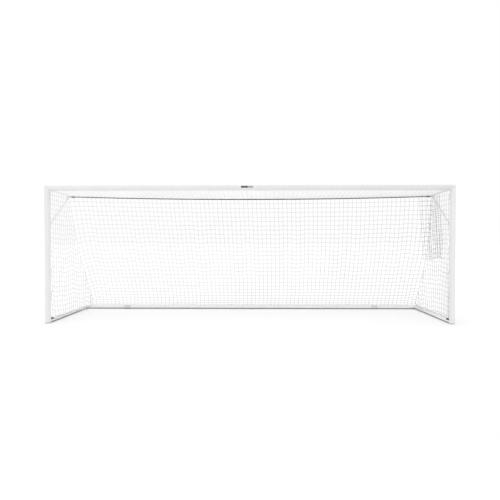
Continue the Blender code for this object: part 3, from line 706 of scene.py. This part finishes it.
def build_badge():
    """Plain two-tone film badge wrapped on the crossbar's front; it carries no marks."""
    low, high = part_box("crossbar_badge")
    inner = POST_R + 0.0003
    outer = inner + 0.0011
    from_angle = math.asin((low.z - BAR_Z) / inner)
    to_angle = math.asin(min(1.0, (high.z - BAR_Z) / (inner + 0.0012)))
    split = low.x + (high.x - low.x) * 0.54
    columns = 14
    for name, start_x, end_x, material, nodes in (
            ("badge_dark_field", low.x, split, BADGE_DARK, ["crossbar_badge"]),
            ("badge_grey_field", split + 0.0006, high.x, BADGE_PALE, [])):
        shapes = []
        for radius in (inner, outer):
            ring = []
            for column in range(columns + 1):
                angle = from_angle + (to_angle - from_angle) * column / columns
                y = LINE_Y - radius * math.cos(angle)
                z = BAR_Z + radius * math.sin(angle)
                ring.append((Vector((start_x, y, z)), Vector((end_x, y, z))))
            shapes.append(ring)
        bm = bmesh.new()
        grid = [[[bm.verts.new(v) for v in pair] for pair in ring] for ring in shapes]
        inside, outside = grid
        for column in range(columns):
            bm.faces.new((inside[column][0], inside[column + 1][0], inside[column + 1][1], inside[column][1]))
            bm.faces.new((outside[column][0], outside[column][1], outside[column + 1][1],
                          outside[column + 1][0]))
            for end in (0, 1):
                bm.faces.new((inside[column][end], outside[column][end], outside[column + 1][end],
                              inside[column + 1][end]))
        for column in (0, columns):
            bm.faces.new((inside[column][0], inside[column][1], outside[column][1], outside[column][0]))
        bmesh.ops.recalc_face_normals(bm, faces=bm.faces)
        mesh = bpy.data.meshes.new(name)
        bm.to_mesh(mesh)
        bm.free()
        add_mesh(name, mesh, material, nodes)


# ---------------------------------------------------------------- net: lattice and hanging
class Net:
    """Points, strands and pins of the whole net, and which panel each strand belongs to."""

    def __init__(self):
        self.points = []
        self.pinned = set()
        self.strands = []
        self.rest = []
        self.panel = []
        self.point_panel = []
        self.side_rows = {}
        self.clips = []

    def point(self, position, panel):
        self.points.append(tuple(position))
        self.point_panel.append(panel)
        return len(self.points) - 1

    def strand(self, start, end, rest, panel):
        if start != end:
            self.strands.append((start, end))
            self.rest.append(rest)
            self.panel.append(panel)

    def clip(self, index, tube_name):
        """Pin a point with a clip on the named tube."""
        self.pinned.add(index)
        self.clips.append((tube_name, self.points[index]))

    def distance(self, start, end):
        return math.dist(self.points[start], self.points[end])


def mixed(start, end, share):
    return start + (end - start) * share


def sweep_table():
    """How far back (0 to 1) and down (0 to 1) the hanging back net is at each of its rows."""
    fine = np.linspace(0.0, 1.0, 200)
    back, down = fine ** SWEEP, fine
    steps = np.hypot(np.diff(back) * (REAR_Y - TIP_Y), np.diff(down) * (TIP_Z - GROUND_TOP))
    along = np.concatenate([[0.0], np.cumsum(steps)]) / steps.sum()
    rows = np.linspace(0.0, 1.0, BACK_ROWS + 1)
    return np.interp(rows, along, back), np.interp(rows, along, down)


def lay_out_net():
    """The net as it is cut and laced up between the tubes, before it is let go."""
    net = Net()
    front_y = LINE_Y + POST_R + EDGE_OUT
    front_z = BAR_Z - 0.012
    low_z = GROUND_TOP + EDGE_OUT
    rear_y = REAR_Y - 0.012
    sweep_back, sweep_down = sweep_table()
    grid = []
    for row in range(TOP_ROWS + BACK_ROWS + 1):
        line = []
        for column in range(COLUMNS + 1):
            across = column / COLUMNS
            rope_x = mixed(-NET_X, NET_X, across)
            rope_z = rope_height(max(-ROPE_END_X, min(ROPE_END_X, rope_x)))
            if row <= TOP_ROWS:
                down = row / TOP_ROWS
                place = (rope_x, mixed(front_y, TIP_Y, down), mixed(front_z, rope_z, down))
                line.append(net.point(place, "top"))
            else:
                back, down = sweep_back[row - TOP_ROWS], sweep_down[row - TOP_ROWS]
                ground_x = mixed(LEFT_REAR_X, RIGHT_REAR_X, across)
                place = (mixed(rope_x, ground_x, down), mixed(TIP_Y, rear_y, back),
                         mixed(rope_z, low_z, down))
                line.append(net.point(place, "back"))
        grid.append(line)
    row_numbers, widths = zip(*ROW_WIDTHS)
    for row, line in enumerate(grid):
        panel = "top" if row < TOP_ROWS else "back"
        width = MESH if row < TOP_ROWS else float(np.interp(row - TOP_ROWS, row_numbers, widths))
        for column in range(COLUMNS):
            net.strand(line[column], line[column + 1], width, panel)
    for column in range(COLUMNS + 1):
        hung = [line[column] for line in grid]
        top_pitch = net.distance(hung[0], hung[TOP_ROWS]) * TOP_SLACK / TOP_ROWS
        back_pitch = net.distance(hung[TOP_ROWS], hung[-1]) * BACK_SLACK / BACK_ROWS
        for row, (above, below) in enumerate(zip(hung, hung[1:])):
            in_top = row < TOP_ROWS
            wave = net_wave(column, BACK_WAVE) * (1 if row < TOP_ROWS + BACK_ROWS * 0.5 else -1)
            pitch = top_pitch if in_top else back_pitch * (1.0 + wave)
            net.strand(above, below, pitch, "top" if in_top else "back")
    for side, sign in SIDES:
        lay_out_side(net, grid, side, sign, low_z)
    lay_out_gather(net, grid)
    pin_net(net, grid)
    return net, grid


def lay_out_gather(net, grid):
    """Surplus of the net, tied in folds round the inside of the right rear corner and hanging free."""
    corner_x = NET_X - 0.022
    corner_y = TIP_Y - 0.018
    heads = [(corner_x - GATHER_PITCH * step, corner_y) for step in range(GATHER_ON_ROPE, 0, -1)]
    heads += [(corner_x, corner_y - GATHER_PITCH * step) for step in range(GATHER_ON_ARM + 1)]
    chance = np.random.default_rng(5)
    lines = []
    for row in range(GATHER_ROWS):
        line = []
        for number, (x, y) in enumerate(heads):
            fold = 0.035 if number % 2 else 0.0
            aside, inward, lift = chance.uniform(-0.02, 0.02, 3) * (row > 0)
            top_z = rope_height(min(x, ROPE_END_X)) - 0.014
            line.append(net.point((x - fold + aside, y - fold + inward, top_z - row * MESH + lift), "gather"))
        lines.append(line)
    for above, below in zip(lines, lines[1:]):
        for column, end in enumerate(below):
            net.strand(above[column], end, MESH * (0.93 + 0.12 * chance.random()), "gather")
        for before, after in zip(below, below[1:]):
            net.strand(before, after, MESH * (0.75 + 0.3 * chance.random()), "gather")
    net.pinned.update(lines[0])
    for row in GATHER_TIES:
        seam_point = grid[TOP_ROWS + row + 1][COLUMNS]
        net.strand(lines[row][GATHER_ON_ROPE], seam_point, MESH * 0.6, "gather")


def lay_out_side(net, grid, side, sign, low_z):
    """Square-hung side panel between post, arm and ground bar, laced to the back's free edge."""
    edge_column = 0 if sign < 0 else COLUMNS
    panel = "side_" + side
    arm = [grid[row][edge_column] for row in range(TOP_ROWS + 1)]
    seam = [grid[TOP_ROWS + row][edge_column] for row in range(BACK_ROWS + 1)]
    top_z = net.points[arm[0]][2]
    front_y = net.points[arm[0]][1]
    pitch_y = (net.points[arm[-1]][1] - front_y) / TOP_ROWS
    rows = [arm]
    for row in range(1, SIDE_ROWS + 1):
        z = mixed(top_z, low_z, row / SIDE_ROWS)
        nearest = min(seam, key=lambda index: abs(net.points[index][2] - z))
        line = []
        column = 0
        while front_y + column * pitch_y < net.points[nearest][1] - 0.4 * MESH:
            x = mixed(sign * NET_X, net.points[nearest][0], column / (TOP_ROWS + row * 0.5))
            line.append(net.point((x, front_y + column * pitch_y, z), panel))
            column += 1
        rows.append(line)
        for before, after in zip(line, line[1:]):
            net.strand(before, after, MESH, panel)
        net.strand(line[-1], nearest, max(net.distance(line[-1], nearest), 0.5 * MESH), panel)
    for row, (above, below) in enumerate(zip(rows, rows[1:])):
        for column, end in enumerate(below):
            start = above[column] if column < len(above) else nearest_above(net, seam, end)
            wave = net_wave(column + 5.0 * sign, SIDE_WAVE) * (1 if row < SIDE_ROWS * 0.55 else -1)
            net.strand(start, end, net.distance(start, end) * (SIDE_SLACK + wave), panel)
    net.side_rows[side] = rows


def net_wave(column, strength):
    """Uneven make of the net from column to column: some hang a little longer than others."""
    ripple = math.sin(1.35 * column) + 0.7 * math.sin(0.83 * column + 1.9) + 0.5 * math.sin(0.31 * column)
    return strength * ripple / 1.6


def nearest_above(net, seam, end):
    """Seam point closest to a side panel point, preferring those above it."""
    def cost(index):
        fall = net.points[end][2] - net.points[index][2]
        return net.distance(index, end) + 2.0 * max(0.0, fall)
    return min(seam, key=cost)


def pin_net(net, grid):
    """Hold the net on the rope, at clips along the tubes and at ties on the arms."""
    rope_row = grid[TOP_ROWS]
    net.pinned.update(rope_row)
    every = round(CLIP_SPACING / MESH)
    net.pinned.update(grid[0])
    for column in range(0, COLUMNS + 1):
        if column % every == 1 or column in (0, COLUMNS):
            net.clip(grid[0][column], "crossbar")
            net.clip(grid[-1][column], "rear_bar")
    for side, sign in SIDES:
        rows = net.side_rows[side]
        for row in range(1, len(rows)):
            if row % every == 2 or row == SIDE_ROWS:
                net.clip(rows[row][0], "post_" + side)
        for column in range(3, TOP_ROWS, 3):
            net.pinned.add(rows[0][column])
        bottom = rows[-1]
        for column in range(4, len(bottom), every):
            net.clip(bottom[column], "side_bar_" + side)


def strand_groups(strands, count):
    """Split the strands into groups in which no two share a point."""
    busy = [set() for _ in range(count)]
    groups = []
    for number, (start, end) in enumerate(strands):
        taken = busy[start] | busy[end]
        colour = 0
        while colour in taken:
            colour += 1
        busy[start].add(colour)
        busy[end].add(colour)
        while len(groups) <= colour:
            groups.append([])
        groups[colour].append(number)
    return [np.array(group) for group in groups]


def hang_net(net):
    """Let the net fall: point masses, strands that go slack but don't stretch, a light breeze."""
    place = np.array(net.points, float)
    ends = np.array(net.strands)
    chance = np.random.default_rng(7)
    uneven = np.where(np.array(net.panel) == "top", 0.002, 0.012)
    rest = np.array(net.rest) * (1.0 + chance.uniform(-1.0, 1.0, len(net.rest)) * uneven)
    free = np.ones(len(place))
    free[sorted(net.pinned)] = 0.0
    groups = strand_groups(net.strands, len(place))
    packed = []
    for group in groups:
        start, end = ends[group, 0], ends[group, 1]
        total = free[start] + free[end]
        keep = total > 0
        start, end, total = start[keep], end[keep], total[keep]
        packed.append((start, end, rest[group][keep], (free[start] / total)[:, None],
                       (free[end] / total)[:, None]))
    force = np.zeros_like(place)
    force[:, 2] = -9.81
    force[:, 0] = DRIFT
    place += chance.normal(0.0, 0.004, place.shape) * free[:, None]
    last = place.copy()
    steps = HANG_STEPS
    step_time = 1.0 / 90.0
    for step in range(steps):
        drag = 0.985 if step < steps * 0.6 else 0.94
        velocity = (place - last) * drag
        last = place.copy()
        place = place + (velocity + force * step_time ** 2) * free[:, None]
        for _ in range(SWEEPS_PER_STEP):
            for start, end, length, share_start, share_end in packed:
                gap = place[end] - place[start]
                span = np.linalg.norm(gap, axis=1)
                stretch = np.maximum(span - length, 0.0) / np.maximum(span, 1e-9)
                pull = gap * stretch[:, None]
                place[start] += pull * share_start
                place[end] -= pull * share_end
        keep_clear(place, free)
    return place, rest


def keep_clear(place, free):
    """Keep free points inside the braces and above the ground bars."""
    depth = place[:, 1] - LINE_Y
    brace_z = SUPPORT_LOW_Z + depth * math.tan(BRACE_TILT)
    near_brace = (np.abs(place[:, 2] - brace_z) < 0.09) | (place[:, 2] > ARM_Z - 0.07)
    beside = near_brace & (depth < TIP_Y - LINE_Y + 0.02) & (free > 0)
    limit = POST_X - SUPPORT_R - 0.004
    place[beside, 0] = np.clip(place[beside, 0], -limit, limit)
    over_bar = (np.abs(place[:, 1] - REAR_Y) < GROUND_R) | (np.abs(np.abs(place[:, 0]) - POST_X) < GROUND_R)
    lift = over_bar & (free > 0) & (place[:, 2] < GROUND_TOP + 0.004)
    place[lift, 2] = GROUND_TOP + 0.004
    floor = (free > 0) & (place[:, 2] < 0.006)
    place[floor, 2] = 0.006


# ---------------------------------------------------------------- net: strands and knots
def strand_mesh(place, starts, ends, rests, seed, sides=5, segments=4):
    """Twine between knots as tubes: a slack strand hangs in a small curve of its own."""
    chance = np.random.default_rng(seed)
    start = place[starts]
    end = place[ends]
    along = end - start
    span = np.linalg.norm(along, axis=1, keepdims=True)
    along = along / np.maximum(span, 1e-9)
    bow = np.minimum(0.55 * np.sqrt(span * np.maximum(rests[:, None] - span, 0.0)), 0.02)
    bow *= chance.uniform(0.3, 1.0, bow.shape)
    down = np.array([0.0, 0.0, -1.0]) + chance.normal(0.0, 0.45, along.shape)
    down -= along * np.sum(down * along, axis=1, keepdims=True)
    down /= np.maximum(np.linalg.norm(down, axis=1, keepdims=True), 1e-6)
    helper = np.where(np.abs(along[:, 2:3]) < 0.9, np.array([[0.0, 0.0, 1.0]]), np.array([[1.0, 0.0, 0.0]]))
    first = np.cross(along, helper)
    first /= np.linalg.norm(first, axis=1, keepdims=True)
    second = np.cross(along, first)
    rings = []
    for step in range(segments + 1):
        share = step / segments
        middle = mixed(start, end, share) + down * bow * (4 * share * (1 - share))
        for side in range(sides):
            angle = 2 * math.pi * side / sides
            rings.append(middle + (first * math.cos(angle) + second * math.sin(angle)) * TWINE_R)
    vertices = np.stack(rings, axis=1).reshape(-1, 3)
    base = np.arange(len(starts))[:, None] * ((segments + 1) * sides)
    quads = []
    for ring in range(segments):
        for side in range(sides):
            after = (side + 1) % sides
            quads.append(np.hstack([base + ring * sides + side, base + ring * sides + after,
                                    base + (ring + 1) * sides + after, base + (ring + 1) * sides + side]))
    return vertices, np.vstack(quads)


def knot_mesh(place, indices, seed):
    """Small squashed knots, each turned its own way."""
    chance = np.random.default_rng(seed)
    bm = bmesh.new()
    bmesh.ops.create_uvsphere(bm, u_segments=6, v_segments=4, radius=1.0)
    template = np.array([vertex.co[:] for vertex in bm.verts])
    faces = [[vertex.index for vertex in face.verts] for face in bm.faces]
    bm.free()
    vertices = []
    stretch = chance.uniform(0.85, 1.2, (len(indices), 3)) * KNOT_R * np.array([1.0, 0.85, 1.0])
    turn = chance.uniform(0.0, math.pi, len(indices))
    for number, index in enumerate(indices):
        cos_turn, sin_turn = math.cos(turn[number]), math.sin(turn[number])
        shaped = template * stretch[number]
        rotated = np.column_stack([shaped[:, 0] * cos_turn - shaped[:, 2] * sin_turn, shaped[:, 1],
                                   shaped[:, 0] * sin_turn + shaped[:, 2] * cos_turn])
        vertices.append(rotated + place[index])
    size_each = len(template)
    all_faces = [[corner + number * size_each for corner in face]
                 for number in range(len(indices)) for face in faces]
    return np.vstack(vertices), all_faces


def build_net_panels(net, place, rest):
    """Turn the hung lattice into strands and knots; the wide back is made as two halves."""
    panel_of = np.array(net.panel)
    strands = np.array(net.strands)
    point_panel = np.array(net.point_panel)
    start_x = place[strands[:, 0], 0]
    everywhere = (-math.inf, math.inf)
    pieces = (("back_left_half", "back", (-math.inf, 0.0)), ("back_right_half", "back", (0.0, math.inf)),
              ("top", "top", everywhere), ("side_left", "side_left", everywhere),
              ("side_right", "side_right", everywhere), ("gather", "gather", everywhere))
    for seed, (name, panel, (low_x, high_x)) in enumerate(pieces):
        chosen = np.flatnonzero((panel_of == panel) & (start_x >= low_x) & (start_x < high_x))
        knotted = np.flatnonzero((point_panel == panel) & (place[:, 0] >= low_x) & (place[:, 0] < high_x))
        tubes, quads = strand_mesh(place, strands[chosen, 0], strands[chosen, 1], rest[chosen], seed)
        knots, knot_faces = knot_mesh(place, knotted, 100 + seed)
        vertices = np.vstack([tubes, knots])
        faces = quads.tolist() + [[index + len(tubes) for index in face] for face in knot_faces]
        node = "net_back" if panel == "gather" else "net_" + panel
        # The top panel's twine is the lighter copy: painted light.
        twine = TOP_TWINE_PAINTED_LIGHT if panel == "top" else TWINE
        add_piece("net_" + name + "_twine", vertices, faces, twine, "net_twine", [node], 180.0)


def rounded_path(points, steps=3):
    """Catmull-Rom curve through points."""
    knots = [Vector(p) for p in points]
    knots = [knots[0] * 2 - knots[1], *knots, knots[-1] * 2 - knots[-2]]
    path = []
    for index in range(1, len(knots) - 2):
        a, b, c, d = knots[index - 1:index + 3]
        for step in range(steps):
            t = step / steps
            path.append(0.5 * (2 * b + (c - a) * t + (2 * a - 5 * b + 4 * c - d) * t ** 2
                               + (3 * b - a - 3 * c + d) * t ** 3))
    path.append(knots[-2])
    return path


def build_border_cords(net, place, grid):
    """Thicker cord along every laced edge of the net."""
    runs = {"net_edge_crossbar": grid[0], "net_edge_rear_bar": grid[-1]}
    for side, sign in SIDES:
        edge_column = 0 if sign < 0 else COLUMNS
        rows = net.side_rows[side]
        runs["net_edge_post_" + side] = [row[0] for row in rows]
        runs["net_edge_arm_" + side] = rows[0]
        runs["net_edge_side_bar_" + side] = rows[-1] + [grid[-1][edge_column]]
    for name, indices in runs.items():
        path = rounded_path([place[index] for index in indices])
        add_piece(name, *swept(path, EDGE_CORD_R, 8), CORD, "net_twine", smooth_deg=180.0)


# ---------------------------------------------------------------- net clips
def clip_shape():
    """Hook-shaped plastic clip: foot at y = 0 on the tube, hook above it, width along Z."""
    hook = [(-0.0085, 0.0008), (-0.004, 0.0018), (0.0, 0.0035), (0.0045, 0.0085), (0.0035, 0.0125),
            (-0.0005, 0.0138), (-0.0042, 0.0122), (-0.0052, 0.0088)]
    path = rounded_path([(x, y, 0.0) for x, y in hook], 4)
    shape_vertices, shape_faces = swept(path, 0.0017, 8)
    hook_shape = ([Vector((v[0], v[1], v[2] * 2.4)) for v in shape_vertices], shape_faces)
    pad = turned([(0.0100, 0.0), (0.0105, 0.0006), (0.0100, 0.0018), (0.0085, 0.0024)], 20)
    oval = ([Vector((v[0], v[1] * 0.62, v[2])) for v in pad[0]], pad[1])
    return joined([hook_shape, moved(oval, Matrix.Rotation(-QUARTER, 4, "X"))])


def clip_matrix(tube_name, place):
    """Seat a clip on its tube next to the net point that it holds."""
    x, y, z = place
    if tube_name == "crossbar":
        foot = (x, LINE_Y + POST_R, BAR_Z)
        columns = ((0, 0, 1), (0, 1, 0), (-1, 0, 0))
    elif tube_name.startswith("post"):
        foot = (math.copysign(POST_X, x), LINE_Y + POST_R, z)
        columns = ((1, 0, 0), (0, 1, 0), (0, 0, 1))
    elif tube_name == "rear_bar":
        foot = (x, REAR_Y, GROUND_TOP)
        columns = ((0, -1, 0), (0, 0, 1), (-1, 0, 0))
    else:
        foot = (math.copysign(POST_X, x), y, GROUND_TOP)
        columns = ((1, 0, 0), (0, 0, 1), (0, -1, 0))
    matrix = Matrix((columns[0], columns[1], columns[2])).transposed().to_4x4()
    matrix.translation = foot
    return matrix


def build_clips(net):
    clip = clip_shape()
    groups = {}
    for tube_name, place in net.clips:
        groups.setdefault(tube_name, []).append(moved(clip, clip_matrix(tube_name, place)))
    for tube_name, shapes in groups.items():
        add_piece("net_clips_" + tube_name, *joined(shapes), PLASTIC, "white_plastic", smooth_deg=50.0)


# ---------------------------------------------------------------- stage
def studio_world():
    """White backdrop for the camera; for light, a soft dome that is brighter overhead than at the sides."""
    world = bpy.data.worlds.new("studio")
    world.use_nodes = True
    tree = world.node_tree
    background = tree.nodes["Background"]
    coordinates = add_node(tree, "ShaderNodeTexCoord")
    aim = add_node(tree, "ShaderNodeSeparateXYZ", {"Vector": coordinates.outputs["Generated"]}).outputs
    sideways = calculated(tree, "ABSOLUTE", aim["X"])
    dimmer = level(tree, sideways, DOME_LEVEL, DOME_LEVEL * DOME_SIDES, 0.35, 1.0)
    dome = calculated(tree, "MULTIPLY", dimmer, level(tree, aim["Z"], 1.0, DOME_TOP))
    rays = add_node(tree, "ShaderNodeLightPath")
    mix = add_node(tree, "ShaderNodeMix", {"Factor": rays.outputs["Is Camera Ray"], "A": dome, "B": 1.0})
    background.inputs["Color"].default_value = (1.0, 1.0, 1.0, 1.0)
    tree.links.new(mix.outputs["Result"], background.inputs["Strength"])
    bpy.context.scene.world = world


def add_stage():
    """Pale floor, white dome and one broad soft light from above and in front."""
    bm = bmesh.new()
    bmesh.ops.create_grid(bm, x_segments=1, y_segments=1, size=FLOOR_SIZE)
    mesh = bpy.data.meshes.new("floor")
    bm.to_mesh(mesh)
    bm.free()
    material, tree, shader = shader_material("pale_floor", grey(FLOOR_TONE), 0.9)
    shader.inputs["Specular IOR Level"].default_value = 0.0
    stops = [(0.3, grey(FLOOR_TONE * 0.995)), (0.7, grey(FLOOR_TONE * 1.005))]
    tone = ramp(tree, noise(tree, 0.6, 2.0), stops)
    tree.links.new(tone, shader.inputs["Base Color"])
    mesh.materials.append(material)
    floor = bpy.data.objects.new("floor", mesh)
    floor.location = (0.0, 0.0, -0.0006)
    bpy.context.scene.collection.objects.link(floor)
    data = bpy.data.lights.new("soft_key", "SUN")
    data.energy = KEY_LEVEL
    data.angle = math.radians(50.0)
    key = bpy.data.objects.new("soft_key", data)
    key.rotation_euler = Vector((0.25, 0.55, -1.0)).to_track_quat("-Z", "Y").to_euler()
    bpy.context.scene.collection.objects.link(key)
    studio_world()
    bpy.context.scene.view_settings.view_transform = "Standard"


# ---------------------------------------------------------------- build
add_camera()
build_rope()
build_tubes()
build_bolts()
build_nuts_and_eyes()
build_badge()
finish_carried_nodes()
the_net, net_grid = lay_out_net()
net_place, net_rest = hang_net(the_net)
build_net_panels(the_net, net_place, net_rest)
build_border_cords(the_net, net_place, net_grid)
build_clips(the_net)
add_stage()
